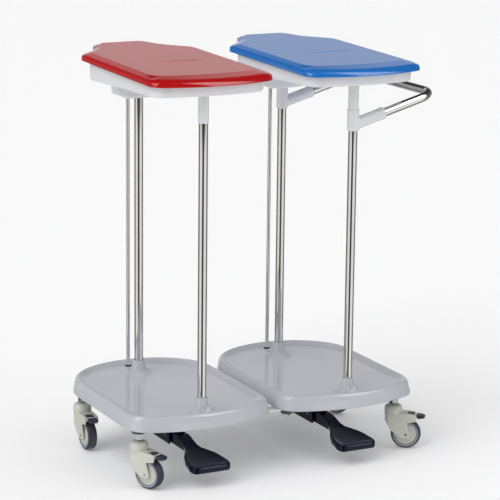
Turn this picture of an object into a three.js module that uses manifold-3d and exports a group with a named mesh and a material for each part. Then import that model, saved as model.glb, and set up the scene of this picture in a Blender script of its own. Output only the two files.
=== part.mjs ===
// Twin linen trolley: two pedal-operated bag holders side by side on four swivel castors,
// with a U-shaped push handle on the right-hand one. Millimetres, +Z up, front towards -Y.
import * as THREE from "three";
import { mergeVertices } from "three/addons/utils/BufferGeometryUtils.js";
import Module from "manifold-3d";

const wasm = await Module();
wasm.setup();

// ---- Driving dimensions -------------------------------------------------------------------
const PITCH = 396;                 // centre to centre of the two bag holders
const POST_Y = 180;                // front and back posts stand at -POST_Y and +POST_Y
const POST_R = 11;
const TUBE_WALL = 1.5;
const FIT = 0.3;                   // gap between two pieces that fit together
const OVERLAP = 0.5;               // depth by which shapes joined into one piece run into each other

const DECK = { halfWidth: 187, bottom: 145, top: 182, floor: 173, underFloor: 165, wall: 7,
  sideBackY: 135, backDepth: 151, cornerY: -198, frontY: -257 };
const BOSS = { top: 207, topR: 13.5, baseR: 24.5, footZ: 150, footR: 16 };
const CUP = { x: 150, frontY: -151.5, backY: 188, r: 14, boreR: 9.7, boreTop: 161 };
const COLLAR = { top: 144.7, bottom: 131, topR: 22, bottomR: 17, spigotR: 9, spigotTop: 160 };
const LINK = { length: 118, width: 30, thickness: 4 };

const RING = { halfWidth: 144, sideBackY: 150, backHalf: 60, backY: 262, cornerY: -232,
  frontY: -250, wall: 6, plate: 6, bottomZ: 928.8, bottomSlope: -0.025, topZ: 968,
  holeHalf: 122, holeFrontY: -148, holeBackY: 138 };
const LID = { halfWidth: 156, cornerY: -240, frontY: -286, earY: 172, tongueHalf: 68, backY: 305,
  rimZ: 966, wallTopZ: 978, shoulderZ: 981.5, plateauZ: 985.5, shell: 3, tilt: 0.02,
  sideBevel: 22, frontBevel: 46 };
const HINGE = { y: 276, z: 948, pinR: 4, lugInner: 50, lugOuter: 60, lugR: 10,
  cheekInner: 14, cheekOuter: 46, crankHalf: 6, crankReach: 28, crankDrop: 15, crankTipR: 5 };
const HOUSING = { halfWidth: 45, frontY: 155, bottomZ: 871, backCorner: 14 };
const POST_TOP_Z = 955;
const SLEEVE = { bottom: 863, r: 12.6 };

const ROD = { y: 245, r: 4.5, bottom: 87, top: 927 };
const GROMMET = { r: 8, flangeR: 11, flange: 3 };
const PEDAL = { pivotY: -20, pivotZ: 74, pinR: 4, armHalf: 15, armBottom: 54, armTop: 86, rearY: 258,
  neckY: -118, padHalf: 53, padFrontY: -244, padBottom: 38, padTop: 55 };
const BRACKET = { cheek: 5, frontY: -42, backY: 60, bottom: 53, plateBottom: 156 };

const HANDLE = { slope: THREE.MathUtils.degToRad(15.5), gripX: 422, bendR: 42, startX: 230 };
const TEE = { bottom: 817.5, top: 862.7, r: 14.5, armR: 14.5, armEndX: 281, axisZ: 831.5 };

const WHEEL = { r: 37.5, width: 24, trail: 32, hubR: 26, hubWidth: 22, axleR: 3 };
const FORK = { halfWidth: 19, slotHalf: 14.4, slotTop: 79, capR: 22.5, capBottom: 90, capTop: 112 };
const STEM = { pinR: 5, nutR: 11, nutBottom: 114, nutTop: 130.7, bottom: 82, top: 158 };
const WELL = { back: 36, front: 54, half: 10, tunnelHalf: 9, tunnelFront: 60, tunnelTop: 84.5 };
const TAB = { base: 80.3, padBack: 37, padFront: 53, padHalf: 9, padTop: 90, neckHalf: 7.5, neckTop: 83,
  rootX: 58.5, tipX: 80, half: 12, top: 87.5, bottom: 76.5, topFall: 0.12, bottomRise: 0.1 };

const handleZ = (x) => TEE.axisZ + (x - PITCH / 2) * Math.tan(HANDLE.slope);
const ringBottomZ = (y) => RING.bottomZ + RING.bottomSlope * y;
const tilted = (z) => (x, y) => z + LID.tilt * y;

// ---- Materials ----------------------------------------------------------------------------
const material = (color, roughness, metalness = 0) =>
  new THREE.MeshStandardMaterial({ color, roughness, metalness });
const PALE_GREY = material(0xb9bec6, 0.3);
const OFF_WHITE = material(0xd8dadc, 0.4);
const RED = material(0xc4060c, 0.12);
const BLUE = material(0x1560c0, 0.12);
const STEEL = material(0xc9cacc, 0.16, 1);
const BLACK = material(0x07070f, 0.25);
const CREAM = material(0xcdcbbe, 0.4);
const TYRE_GREY = material(0x3a3a46, 0.6);
const COLLAR_GREY = material(0x3c3d45, 0.5);
const NAVY = material(0x1a1a30, 0.45);

// ---- Shapes -------------------------------------------------------------------------------
/** Solid from a closed geometry: positions only, shared corners merged, no collapsed triangles. */
function solid(geometry) {
  const bare = geometry.clone();
  bare.deleteAttribute("normal");
  bare.deleteAttribute("uv");
  const welded = mergeVertices(bare, 1e-4);
  const triangles = [];
  for (let i = 0; i < welded.index.count; i += 3) {
    const [a, b, c] = welded.index.array.slice(i, i + 3);
    if (a !== b && b !== c && c !== a) triangles.push(a, b, c);
  }
  return new wasm.Manifold(new wasm.Mesh({
    numProp: 3,
    vertProperties: new Float32Array(welded.attributes.position.array),
    triVerts: new Uint32Array(triangles),
  }));
}

/** Geometry of `first` with `joined` added and then `cuts` taken away. */
function carve(first, joined, cuts) {
  let body = solid(first);
  for (const shape of joined) body = body.add(solid(shape));
  for (const shape of cuts) body = body.subtract(solid(shape));
  const mesh = body.getMesh();
  const geometry = new THREE.BufferGeometry();
  geometry.setAttribute("position", new THREE.BufferAttribute(mesh.vertProperties.slice(), 3));
  geometry.setIndex(new THREE.BufferAttribute(mesh.triVerts.slice(), 1));
  return geometry;
}

/** Closed body through horizontal loops of equally many points, each at its own height(x, y). */
function loft(levels) {
  const count = levels[0].loop.length;
  const positions = [];
  const index = [];
  for (const { loop, z } of levels) {
    const height = typeof z === "function" ? z : () => z;
    for (const p of loop) positions.push(p.x, p.y, height(p.x, p.y));
  }
  for (let level = 0; level + 1 < levels.length; level += 1) {
    for (let i = 0; i < count; i += 1) {
      const a = level * count + i;
      const b = level * count + (i + 1) % count;
      index.push(a, b, b + count, a, b + count, a + count);
    }
  }
  const last = (levels.length - 1) * count;
  for (const [a, b, c] of THREE.ShapeUtils.triangulateShape(levels[0].loop, [])) index.push(a, c, b);
  for (const [a, b, c] of THREE.ShapeUtils.triangulateShape(levels.at(-1).loop, [])) {
    index.push(last + a, last + b, last + c);
  }
  const geometry = new THREE.BufferGeometry();
  geometry.setAttribute("position", new THREE.Float32BufferAttribute(positions, 3));
  geometry.setIndex(index);
  return geometry;
}

/** Points of the corner [x, y, cut] between two neighbours, rounded over `cut` each way. */
function roundedCorner(before, [x, y, cut], after, steps) {
  const corner = new THREE.Vector2(x, y);
  const towards = ([toX, toY]) =>
    new THREE.Vector2(toX - x, toY - y).setLength(cut).add(corner);
  return new THREE.QuadraticBezierCurve(towards(before), corner, towards(after)).getPoints(steps);
}

/** Counter-clockwise loop through corners [x, y, cut]. */
function roundedLoop(corners, steps = 3) {
  return corners.flatMap((corner, i) =>
    roundedCorner(corners.at(i - 1), corner, corners[(i + 1) % corners.length], steps));
}

/** Turned body on the Z axis at (x, y) from its [radius, z] profile. */
function turned(profile, segments, x = 0, y = 0) {
  const points = profile.map(([r, z]) => new THREE.Vector2(r, z));
  return new THREE.LatheGeometry(points, segments).rotateX(Math.PI / 2).translate(x, y, 0);
}

/** Upright cylinder between two heights. */
function upright(r, bottom, top, x, y, segments = 16) {
  return turned([[0, bottom], [r, bottom], [r, top], [0, top]], segments, x, y);
}

/** Upright tube between two heights. */
function pipe(r, boreR, bottom, top, x, y, segments = 16) {
  const profile = [[boreR, bottom], [r, bottom], [r, top], [boreR, top], [boreR, bottom]];
  return turned(profile, segments, x, y);
}

/** Cylinder along X between two places. */
function crossways(r, fromX, toX, y, z, segments = 12) {
  return new THREE.CylinderGeometry(r, r, toX - fromX, segments)
    .rotateZ(Math.PI / 2).translate((fromX + toX) / 2, y, z);
}

/** Box given by its lower and upper corners. */
function block([x0, y0, z0], [x1, y1, z1]) {
  return new THREE.BoxGeometry(x1 - x0, y1 - y0, z1 - z0)
    .translate((x0 + x1) / 2, (y0 + y1) / 2, (z0 + z1) / 2);
}

// ---- Deck ---------------------------------------------------------------------------------
/** Outline of the deck drawn in by `inset`: straight sides, bowed front, elliptical back. */
function deckLoop(inset) {
  const half = DECK.halfWidth - inset;
  const back = new THREE.EllipseCurve(0, DECK.sideBackY, half, DECK.backDepth - inset, 0, Math.PI);
  const left = [-half, DECK.cornerY + inset, 50];
  const middle = [0, DECK.frontY + inset, 115];
  const right = [half, DECK.cornerY + inset, 50];
  const front = [
    ...roundedCorner([-half, DECK.sideBackY], left, middle, 4),
    ...roundedCorner(left, middle, right, 6),
    ...roundedCorner(middle, right, [half, DECK.sideBackY], 4),
  ];
  return [...back.getPoints(15), ...front];
}

const CUP_PLACES = [-1, 1].flatMap((side) =>
  [CUP.frontY, CUP.backY].map((y) => new THREE.Vector2(side * CUP.x, y)));

function deckGeometry() {
  const outer = loft([
    { loop: deckLoop(3), z: DECK.bottom },
    { loop: deckLoop(0), z: DECK.bottom + 4 },
    { loop: deckLoop(5), z: DECK.top - 9 },
    { loop: deckLoop(10), z: DECK.top },
    { loop: deckLoop(15), z: DECK.top },
    { loop: deckLoop(22), z: DECK.floor },
  ]);
  const hollow = loft([
    { loop: deckLoop(DECK.wall), z: DECK.bottom - OVERLAP },
    { loop: deckLoop(DECK.wall + 5), z: DECK.underFloor },
  ]);
  const boss = [[0, BOSS.footZ], [BOSS.footR, BOSS.footZ], [BOSS.footR, DECK.underFloor + OVERLAP],
    [BOSS.baseR, DECK.underFloor + 2], [BOSS.baseR, DECK.floor + 1], [17.5, DECK.floor + 12],
    [BOSS.topR, BOSS.top], [0, BOSS.top]];
  const bosses = [-POST_Y, POST_Y].map((y) => turned(boss, 14, 0, y));
  const cups = CUP_PLACES.map((p) =>
    upright(CUP.r, DECK.bottom, DECK.underFloor + OVERLAP, p.x, p.y, 12));
  const postBores = [-POST_Y, POST_Y].map((y) =>
    upright(POST_R + FIT, DECK.bottom, BOSS.top + OVERLAP, 0, y));
  const cupBores = CUP_PLACES.map((p) =>
    upright(CUP.boreR, DECK.bottom - OVERLAP, CUP.boreTop, p.x, p.y, 12));
  const rodHole = upright(GROMMET.r + FIT, DECK.bottom, DECK.top, 0, ROD.y, 16);
  const shell = carve(outer, [], [hollow]);
  return carve(shell, [...bosses, ...cups], [...postBores, ...cupBores, rodHole]);
}

// ---- Bag frame and hinge housing ----------------------------------------------------------
/** Outline of the bag frame drawn in by `inset`: narrow at the back, where the hinge is. */
function ringLoop(inset) {
  const half = RING.halfWidth - inset;
  const backHalf = RING.backHalf - inset / 2;
  const back = RING.backY - inset;
  return roundedLoop([
    [half, RING.sideBackY - inset / 2, 14], [backHalf, back, 18], [-backHalf, back, 18],
    [-half, RING.sideBackY - inset / 2, 14], [-half, RING.cornerY + inset, 48],
    [0, RING.frontY + inset, 60], [half, RING.cornerY + inset, 48],
  ]);
}

/** Outline of the opening that the bag hangs through, drawn in by `inset`. */
function bagHoleLoop(inset) {
  const half = RING.holeHalf - inset;
  const front = RING.holeFrontY + inset;
  const back = RING.holeBackY - inset;
  return roundedLoop([[half, back, 30], [-half, back, 30], [-half, front, 30], [half, front, 30]]);
}

function bagFrameGeometry() {
  const topZ = tilted(RING.topZ);
  const plateZ = tilted(RING.topZ - RING.plate);
  const outer = loft([
    { loop: ringLoop(5), z: (x, y) => ringBottomZ(y) },
    { loop: ringLoop(1), z: (x, y) => ringBottomZ(y) + 4 },
    { loop: ringLoop(0), z: tilted(RING.topZ - 3) },
    { loop: ringLoop(3), z: topZ },
  ]);
  const under = (x, y) => ringBottomZ(y) - OVERLAP;
  const hollow = loft([
    { loop: ringLoop(RING.wall + 3), z: under },
    { loop: ringLoop(RING.wall), z: plateZ },
  ]);
  const holeWall = loft([{ loop: bagHoleLoop(-RING.wall), z: (x, y) => ringBottomZ(y) },
    { loop: bagHoleLoop(-RING.wall), z: tilted(RING.topZ - RING.plate + OVERLAP) }]);
  const hole = loft([{ loop: bagHoleLoop(0), z: under }, { loop: bagHoleLoop(0), z: RING.topZ + 20 }]);
  const postSockets = [-POST_Y, POST_Y].map((y) =>
    upright(POST_R + 6, ringBottomZ(y) + 1, plateZ(0, y) + 2, 0, y));
  const postBores = [-POST_Y, POST_Y].map((y) =>
    upright(POST_R + FIT, ringBottomZ(y) - 5, POST_TOP_Z + 1, 0, y));
  const cheeks = [-1, 1].map((side) => {
    const xs = [side * HINGE.cheekInner, side * HINGE.cheekOuter].sort((a, b) => a - b);
    return block([xs[0], POST_Y + 45, HINGE.z - 12], [xs[1], HINGE.y + 10, HINGE.z + 12]);
  });
  const pinBore = crossways(HINGE.pinR + 0.4, -HINGE.lugOuter, HINGE.lugOuter, HINGE.y, HINGE.z);
  const crankSlot = block([-HINGE.crankHalf - 2, ROD.y - 9, RING.bottomZ - 20],
    [HINGE.crankHalf + 2, HINGE.y + 20, RING.topZ + 20]);
  const shell = carve(outer, [], [hollow]);
  return carve(shell, [holeWall, ...postSockets, ...cheeks], [hole, ...postBores, pinBore, crankSlot]);
}

function housingGeometry() {
  const { halfWidth: half, frontY, bottomZ, backCorner } = HOUSING;
  const loopAt = (inset) => roundedLoop([
    [half - inset, RING.backY - 6 - inset, backCorner],
    [-half + inset, RING.backY - 6 - inset, backCorner],
    [-half + inset, frontY + inset, backCorner / 2], [half - inset, frontY + inset, backCorner / 2],
  ]);
  const body = loft([
    { loop: loopAt(6), z: bottomZ },
    { loop: loopAt(1), z: bottomZ + 7 },
    { loop: loopAt(0), z: (x, y) => ringBottomZ(y) - FIT },
  ]);
  const postBore = upright(POST_R + FIT, bottomZ - 1, RING.bottomZ, 0, POST_Y);
  const rodBore = upright(ROD.r + 1.5, bottomZ - 1, RING.bottomZ, 0, ROD.y, 16);
  return carve(body, [], [postBore, rodBore]);
}

// ---- Lid ----------------------------------------------------------------------------------
/** Outline of the lid with its sides, front and back drawn in: ears, then a narrower tongue. */
function lidLoop(side, front, back) {
  const half = LID.halfWidth - side;
  const tongue = LID.tongueHalf - back;
  const ear = LID.earY - side / 2;
  const half2 = LID.halfWidth * 0.62 - side * 0.8;
  return roundedLoop([
    [half, ear, 9], [half2, LID.earY + 62 - side / 2, 16], [tongue, LID.backY - back, 12],
    [-tongue, LID.backY - back, 12], [-half2, LID.earY + 62 - side / 2, 16], [-half, ear, 9],
    [-half, LID.cornerY + front, 30], [0, LID.frontY + front, 100],
    [half, LID.cornerY + front, 30],
  ]);
}

function lidGeometry() {
  const outer = loft([
    { loop: lidLoop(1.5, 1.5, 1.5), z: tilted(LID.rimZ) },
    { loop: lidLoop(0, 0, 0), z: tilted(LID.rimZ + 2) },
    { loop: lidLoop(1, 2, 1), z: tilted(LID.wallTopZ - 3) },
    { loop: lidLoop(4, 10, 4), z: tilted(LID.shoulderZ - 1) },
    { loop: lidLoop(LID.sideBevel, LID.frontBevel, 14), z: tilted(LID.plateauZ) },
  ]);
  const t = LID.shell;
  const inner = loft([
    { loop: lidLoop(t + 1, t + 1, t + 1), z: tilted(LID.rimZ - 1) },
    { loop: lidLoop(t + 1, t + 2, t + 1), z: tilted(LID.wallTopZ - 3) },
    { loop: lidLoop(LID.sideBevel, LID.frontBevel, 14), z: tilted(LID.plateauZ - t) },
  ]);
  const lugTop = LID.plateauZ + LID.tilt * HINGE.y - t + 1;
  const lugs = [-1, 1].flatMap((side) => {
    const xs = [side * HINGE.lugInner, side * HINGE.lugOuter].sort((a, b) => a - b);
    return [
      block([xs[0], HINGE.y - HINGE.lugR + 1, HINGE.z], [xs[1], HINGE.y + HINGE.lugR - 1, lugTop]),
      crossways(HINGE.lugR, xs[0], xs[1], HINGE.y, HINGE.z),
    ];
  });
  const pinBore = crossways(HINGE.pinR + FIT, -HINGE.lugOuter - 5, HINGE.lugOuter + 5, HINGE.y, HINGE.z);
  const shell = carve(outer, [], [inner]);
  return carve(shell, lugs, [pinBore]);
}

/** Hinge pin with the crank that the push rod lifts, as one piece. */
function hingePinGeometry() {
  const pin = crossways(HINGE.pinR, -HINGE.lugOuter - 1, HINGE.lugOuter + 1, HINGE.y, HINGE.z);
  const half = HINGE.crankHalf;
  const hub = crossways(HINGE.pinR + 4, -half, half, HINGE.y, HINGE.z);
  const tipY = HINGE.y - HINGE.crankReach;
  const tipZ = HINGE.z - HINGE.crankDrop;
  const tip = crossways(HINGE.crankTipR, -half, half, tipY, tipZ);
  const length = Math.hypot(HINGE.crankReach, HINGE.crankDrop);
  const arm = new THREE.BoxGeometry(2 * half, length, 2 * HINGE.crankTipR - 1)
    .rotateX(Math.atan2(HINGE.crankDrop, HINGE.crankReach))
    .translate(0, (HINGE.y + tipY) / 2, (HINGE.z + tipZ) / 2);
  return carve(pin, [hub, tip, arm], []);
}

// ---- Pedal --------------------------------------------------------------------------------
function pedalGeometry() {
  const { armHalf, padHalf, neckY, padFrontY, rearY } = PEDAL;
  const shoulderY = neckY - 62;
  const loopAt = (inset) => roundedLoop([
    [armHalf - inset, rearY - inset, 4], [-armHalf + inset, rearY - inset, 4],
    [-armHalf + inset, PEDAL.pivotY - 55, 12], [-armHalf + inset, neckY, 14],
    [-padHalf + 6 + inset, shoulderY, 10], [-padHalf + inset, padFrontY + 6 + inset, 16],
    [0, padFrontY - 2 + inset, 30], [padHalf - inset, padFrontY + 6 + inset, 16],
    [padHalf - 6 - inset, shoulderY, 10], [armHalf - inset, neckY, 14],
    [armHalf - inset, PEDAL.pivotY - 55, 12],
  ]);
  const along = (rear, front, z) => THREE.MathUtils.clamp((rear - z) / (rear - front), 0, 1);
  const bottomZ = (x, y) =>
    THREE.MathUtils.lerp(PEDAL.armBottom, PEDAL.padBottom, along(neckY, padFrontY, y));
  const topZ = (x, y) => {
    const neckZ = THREE.MathUtils.lerp(PEDAL.armTop, PEDAL.padTop + 10, along(-80, neckY - 25, y));
    return THREE.MathUtils.lerp(neckZ, PEDAL.padTop, along(neckY - 25, padFrontY, y));
  };
  const body = loft([
    { loop: loopAt(2), z: bottomZ },
    { loop: loopAt(0), z: (x, y) => bottomZ(x, y) + 3 },
    { loop: loopAt(0), z: (x, y) => topZ(x, y) - 3 },
    { loop: loopAt(2), z: topZ },
  ]);
  const bore = crossways(PEDAL.pinR + FIT, -armHalf - 5, armHalf + 5, PEDAL.pivotY, PEDAL.pivotZ);
  return carve(body, [], [bore]);
}

/** U-shaped bracket under the deck that carries the pedal. */
function bracketGeometry() {
  const inner = PEDAL.armHalf + 0.8;
  const outer = inner + BRACKET.cheek;
  const body = block([-outer, BRACKET.frontY, BRACKET.bottom],
    [outer, BRACKET.backY, DECK.underFloor - FIT]);
  const gap = block([-inner, BRACKET.frontY - 1, BRACKET.bottom - 1],
    [inner, BRACKET.backY + 1, BRACKET.plateBottom]);
  const bore = crossways(PEDAL.pinR + FIT, -outer - 1, outer + 1, PEDAL.pivotY, PEDAL.pivotZ);
  return carve(body, [], [gap, bore]);
}

// ---- Push handle --------------------------------------------------------------------------
/** Path through given stations; an extrusion with one step per span puts a section on each. */
class StationPath extends THREE.Curve {
  constructor(stations) {
    super();
    this.stations = stations;
  }

  getPoint(t, target = new THREE.Vector3()) {
    const place = t * (this.stations.length - 1);
    const before = Math.min(Math.floor(place + 1e-6), this.stations.length - 2);
    return target.lerpVectors(this.stations[before], this.stations[before + 1], place - before);
  }

  getPointAt(u, target) {
    return this.getPoint(u, target);
  }

  getTangentAt(u, target = new THREE.Vector3()) {
    const nearest = Math.round(u * (this.stations.length - 1));
    const before = this.stations[Math.max(nearest - 1, 0)];
    const after = this.stations[Math.min(nearest + 1, this.stations.length - 1)];
    return target.subVectors(after, before).normalize();
  }
}

/** U of tube that rises away from the posts: two arms, two bends and the grip along Y. */
function handleGeometry() {
  const out = new THREE.Vector3(Math.cos(HANDLE.slope), 0, Math.sin(HANDLE.slope));
  const at = (x, y) => new THREE.Vector3(x, y, handleZ(x));
  const bendSteps = 5;
  const bend = (side) => {
    const centre = at(HANDLE.gripX, 0).addScaledVector(out, -HANDLE.bendR);
    centre.y = side * (POST_Y - HANDLE.bendR);
    return Array.from({ length: bendSteps + 1 }, (_, i) => {
      const angle = (i / bendSteps) * Math.PI / 2;
      return centre.clone().addScaledVector(out, HANDLE.bendR * Math.sin(angle))
        .add(new THREE.Vector3(0, side * HANDLE.bendR * Math.cos(angle), 0));
    });
  };
  const stations = [at(HANDLE.startX, -POST_Y), ...bend(-1), ...bend(1).reverse(),
    at(HANDLE.startX, POST_Y)];
  const ring = new THREE.Shape().absarc(0, 0, POST_R, 0, 2 * Math.PI);
  ring.holes.push(new THREE.Path().absarc(0, 0, POST_R - TUBE_WALL, 0, 2 * Math.PI, true));
  return new THREE.ExtrudeGeometry(ring, {
    steps: stations.length - 1,
    curveSegments: 6,
    extrudePath: new StationPath(stations),
  });
}

/** Tee that clamps a post and takes one end of the handle. */
function teeGeometry(y, top) {
  const postX = PITCH / 2;
  const towards = (x) => new THREE.Vector3(x, y, handleZ(x));
  const along = (r, fromX, toX) => {
    const from = towards(fromX);
    const to = towards(toX);
    return new THREE.CylinderGeometry(r, r, from.distanceTo(to), 16)
      .rotateZ(-Math.PI / 2).rotateY(-HANDLE.slope)
      .translate(...from.add(to).multiplyScalar(0.5).toArray());
  };
  const arm = along(TEE.armR, postX + 4, TEE.armEndX);
  const collar = along(TEE.armR + 0.8, TEE.armEndX - 9, TEE.armEndX + 0.4);
  const tubeBore = along(POST_R + FIT, HANDLE.startX - 1, TEE.armEndX + 20);
  const postBore = upright(POST_R + FIT, TEE.bottom - 1, top + 1, postX, y);
  return carve(upright(TEE.r, TEE.bottom, top, postX, y), [arm, collar], [postBore, tubeBore]);
}

// ---- Castors ------------------------------------------------------------------------------
// A castor is drawn with its swivel axis on Z, trailing along +X, its wheel axle along Y.
function forkGeometry() {
  const side = new THREE.Shape();
  side.moveTo(-21, FORK.capBottom + OVERLAP);
  side.lineTo(-21, 73);
  side.lineTo(-7, 50);
  side.quadraticCurveTo(12, 30, WHEEL.trail - 8, 28);
  side.absarc(WHEEL.trail, WHEEL.r, 11, 1.25 * Math.PI, 2.1 * Math.PI);
  side.quadraticCurveTo(38, 56, 34, 67);
  side.lineTo(57, 71.5);
  side.lineTo(57.5, 87.5);
  side.quadraticCurveTo(40, 92, 18, FORK.capBottom + OVERLAP + 1.5);
  side.closePath();
  const width = 2 * FORK.halfWidth;
  const body = new THREE.ExtrudeGeometry(side, { depth: width, bevelEnabled: false, curveSegments: 4 })
    .rotateX(Math.PI / 2).translate(0, FORK.halfWidth, 0);
  const cap = turned([[0, FORK.capBottom - 2], [FORK.capR - 0.5, FORK.capBottom - 2],
    [FORK.capR, FORK.capBottom + 3], [FORK.capR, FORK.capTop - 9], [FORK.capR - 3, FORK.capTop - 3],
    [FORK.capR - 8, FORK.capTop], [0, FORK.capTop]], 14);
  const half = FORK.slotHalf;
  const wheelSlot = block([-16, -half, 0], [90, half, FORK.slotTop]);
  const wellTop = FORK.capTop;
  const padWell = block([WELL.back, -WELL.half, FORK.slotTop - 1], [WELL.front, WELL.half, wellTop]);
  const tabTunnel = block([WELL.front - 4, -WELL.tunnelHalf, FORK.slotTop - 1],
    [WELL.tunnelFront, WELL.tunnelHalf, WELL.tunnelTop]);
  const stemBore = upright(STEM.pinR + FIT, FORK.slotTop - 1, FORK.capTop + 1, 0, 0, 12);
  const axleBore = new THREE.CylinderGeometry(WHEEL.axleR + FIT, WHEEL.axleR + FIT, width + 2, 12)
    .translate(WHEEL.trail, 0, WHEEL.r);
  return carve(body, [cap], [wheelSlot, padWell, tabTunnel, stemBore, axleBore]);
}

/** Fixed stem: the pin the fork turns on, with the hexagon nut that locks it to the deck. */
function stemGeometry() {
  const pin = upright(STEM.pinR, STEM.bottom, STEM.top, 0, 0, 8);
  const nut = upright(STEM.nutR, STEM.nutBottom, STEM.nutTop, 0, 0, 6);
  return carve(pin, [nut], []);
}

function collarGeometry() {
  return turned([[STEM.pinR + FIT, COLLAR.bottom], [COLLAR.bottomR, COLLAR.bottom],
    [COLLAR.topR, COLLAR.top - 6], [COLLAR.topR, COLLAR.top], [COLLAR.spigotR, COLLAR.top],
    [COLLAR.spigotR, COLLAR.spigotTop], [STEM.pinR + FIT, COLLAR.spigotTop],
    [STEM.pinR + FIT, COLLAR.bottom]], 12);
}

/** Wheel body and tyre are turned about Z and then laid over onto the axle. */
function onAxle(profile, segments) {
  return turned(profile, segments).rotateX(Math.PI / 2).translate(WHEEL.trail, 0, WHEEL.r);
}

function hubGeometry() {
  const face = WHEEL.hubWidth / 2;
  const bore = WHEEL.axleR + FIT;
  const rim = WHEEL.hubR;
  return onAxle([[bore, -face], [9, -face], [rim - 5, -face + 3], [rim, -face], [rim, face],
    [rim - 5, face - 3], [9, face], [bore, face], [bore, -face]], 16);
}

function tyreGeometry() {
  const face = WHEEL.width / 2;
  const bore = WHEEL.hubR + FIT;
  const r = WHEEL.r;
  return onAxle([[bore, -face], [r - 6, -face], [r - 2, -face + 3], [r, -face + 8],
    [r, face - 8], [r - 2, face - 3], [r - 6, face], [bore, face], [bore, -face]], 24);
}

function axleGeometry() {
  const end = FORK.halfWidth + 1;
  return new THREE.CylinderGeometry(WHEEL.axleR, WHEEL.axleR, 2 * end, 8)
    .translate(WHEEL.trail, 0, WHEEL.r);
}

/** Brake lever: pad in the well, neck through the tunnel and the tab that a foot presses. */
function brakeTabGeometry() {
  const { rootX, tipX, half } = TAB;
  const pad = block([TAB.padBack, -TAB.padHalf, TAB.base], [TAB.padFront, TAB.padHalf, TAB.padTop]);
  const neck = block([TAB.padFront - 3, -TAB.neckHalf, TAB.base],
    [rootX + 1.5, TAB.neckHalf, TAB.neckTop]);
  const tab = loft([
    { loop: roundedLoop([[tipX - 2, half - 2, 9], [rootX + 1, half - 1, 2],
      [rootX + 1, -half + 1, 2], [tipX - 2, -half + 2, 9]]),
    z: (x) => TAB.bottom + (x - rootX) * TAB.bottomRise },
    { loop: roundedLoop([[tipX, half, 9], [rootX, half, 2], [rootX, -half, 2], [tipX, -half, 9]]),
      z: (x) => TAB.top - (x - rootX) * TAB.topFall },
  ]);
  return carve(pad, [neck, tab], []);
}

// ---- Assembly -----------------------------------------------------------------------------
const trolley = new THREE.Group();

function add(parent, name, geometry, look) {
  const mesh = new THREE.Mesh(geometry, look);
  mesh.name = name;
  parent.add(mesh);
}

/** One bag holder with everything that belongs to it, in its own group. */
function addModule(side, x, lidLook) {
  const module = new THREE.Group();
  module.position.x = x;
  trolley.add(module);
  const postBottom = BOSS.footZ + 1;
  add(module, `${side}_deck`, deckGeometry(), PALE_GREY);
  for (const [place, y] of [["front", -POST_Y], ["back", POST_Y]]) {
    add(module, `${side}_${place}_post`,
      pipe(POST_R, POST_R - TUBE_WALL, postBottom, POST_TOP_Z, 0, y), STEEL);
  }
  add(module, `${side}_front_sleeve`, pipe(SLEEVE.r, POST_R + FIT, SLEEVE.bottom,
    ringBottomZ(-POST_Y) - FIT, 0, -POST_Y), OFF_WHITE);
  add(module, `${side}_bag_frame`, bagFrameGeometry(), OFF_WHITE);
  add(module, `${side}_hinge_housing`, housingGeometry(), OFF_WHITE);
  add(module, `${side}_lid`, lidGeometry(), lidLook);
  add(module, `${side}_hinge_pin`, hingePinGeometry(), STEEL);
  add(module, `${side}_push_rod`, upright(ROD.r, ROD.bottom, ROD.top, 0, ROD.y, 12), STEEL);
  add(module, `${side}_rod_grommet`, turned([[ROD.r + FIT, DECK.underFloor],
    [GROMMET.r, DECK.underFloor], [GROMMET.r, DECK.floor + FIT], [GROMMET.flangeR, DECK.floor + FIT],
    [GROMMET.flangeR - 2, DECK.floor + GROMMET.flange], [ROD.r + FIT, DECK.floor + GROMMET.flange],
    [ROD.r + FIT, DECK.underFloor]], 12, 0, ROD.y), BLACK);
  add(module, `${side}_pedal`, pedalGeometry(), BLACK);
  const pinEnd = PEDAL.armHalf + BRACKET.cheek + 2;
  add(module, `${side}_pedal_pin`,
    crossways(PEDAL.pinR, -pinEnd, pinEnd, PEDAL.pivotY, PEDAL.pivotZ, 12), STEEL);
  add(module, `${side}_pedal_bracket`, bracketGeometry(), BLACK);
}

/** One castor; `heading` is the direction in which it trails, in degrees from +X. */
function addCastor(name, x, y, heading) {
  const castor = new THREE.Group();
  castor.position.set(x, y, 0);
  castor.rotation.z = THREE.MathUtils.degToRad(heading);
  trolley.add(castor);
  add(castor, `${name}_collar`, collarGeometry(), COLLAR_GREY);
  add(castor, `${name}_stem`, stemGeometry(), STEEL);
  add(castor, `${name}_fork`, forkGeometry(), CREAM);
  add(castor, `${name}_axle`, axleGeometry(), STEEL);
  add(castor, `${name}_hub`, hubGeometry(), CREAM);
  add(castor, `${name}_tyre`, tyreGeometry(), TYRE_GREY);
  add(castor, `${name}_brake_tab`, brakeTabGeometry(), NAVY);
}

addModule("left", -PITCH / 2, RED);
addModule("right", PITCH / 2, BLUE);

const castorX = PITCH / 2 + CUP.x;
addCastor("left_front_castor", -castorX, CUP.frontY, -63);
addCastor("left_back_castor", -castorX, CUP.backY, -90);
addCastor("right_front_castor", castorX, CUP.frontY, -32);
addCastor("right_back_castor", castorX, CUP.backY, -67);

add(trolley, "front_handle_tee", teeGeometry(-POST_Y, TEE.top), OFF_WHITE);
add(trolley, "back_handle_tee", teeGeometry(POST_Y, HOUSING.bottomZ - FIT), OFF_WHITE);
add(trolley, "push_handle", handleGeometry(), STEEL);

for (const [place, y] of [["front", CUP.frontY], ["back", CUP.backY]]) {
  add(trolley, `${place}_link_plate`, block(
    [-LINK.length / 2, y - LINK.width / 2, DECK.bottom - FIT - LINK.thickness],
    [LINK.length / 2, y + LINK.width / 2, DECK.bottom - FIT]), OFF_WHITE);
}

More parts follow.
